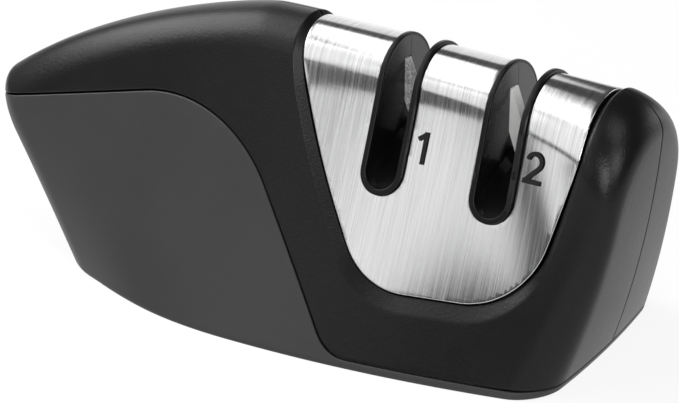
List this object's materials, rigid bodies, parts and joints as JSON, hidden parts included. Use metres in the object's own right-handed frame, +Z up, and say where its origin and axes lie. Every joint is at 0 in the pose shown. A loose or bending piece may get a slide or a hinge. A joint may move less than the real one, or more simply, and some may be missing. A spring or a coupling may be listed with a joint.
{
  "type": "knife sharpener",
  "caption": "Palm-grip pull-through knife sharpener: black humped body with a grey grip boot and a lift-out brushed steel head with a coarse and a fine slot.",
  "frame": {"origin": "on the underside of the foot, below the widest section of the body and midway between the sides", "axes": "+X along the body from the tail to the nose, +Z up, -Y towards the front face"},
  "size_m": [0.1476, 0.0662, 0.0564],
  "materials": {
    "shell_black": "satin black ABS with a fine grain",
    "boot_grey": "matte dark grey soft-touch",
    "inner_black": "plain moulded black",
    "pad_rubber": "matte rubber sheet",
    "fastener_steel": "plain steel",
    "cover_steel": "brushed stainless, brushed round the arch",
    "cartridge_black": "satin black moulding",
    "coarse_plate": "steel coated with grey abrasive grain",
    "fine_plate": "white ceramic"
  },
  "bodies": {
    "body": {"front_shell": "shell_black", "rear_shell": "shell_black", "grip_boot": "boot_grey", "base_plate": "inner_black", "anti_slip_pad": "pad_rubber", "head_well": "inner_black", "shell_dowels": "fastener_steel", "base_screws": "fastener_steel"},
    "head": {"steel_cover": "cover_steel", "cartridge_front": "cartridge_black", "cartridge_rear": "cartridge_black", "coarse_plate_front": "coarse_plate", "coarse_plate_rear": "coarse_plate", "fine_plate_front": "fine_plate", "fine_plate_rear": "fine_plate", "coarse_holder_front": "inner_black", "coarse_holder_rear": "inner_black", "fine_holder_front": "inner_black", "fine_holder_rear": "inner_black", "plate_pins": "fastener_steel", "cartridge_screws": "fastener_steel"}
  },
  "joints": [
    {"name": "head_lift", "type": "slide", "parent": "body", "child": "head", "axis": [0, 0, 1], "range_m": [0, 0.06]}
  ]
}
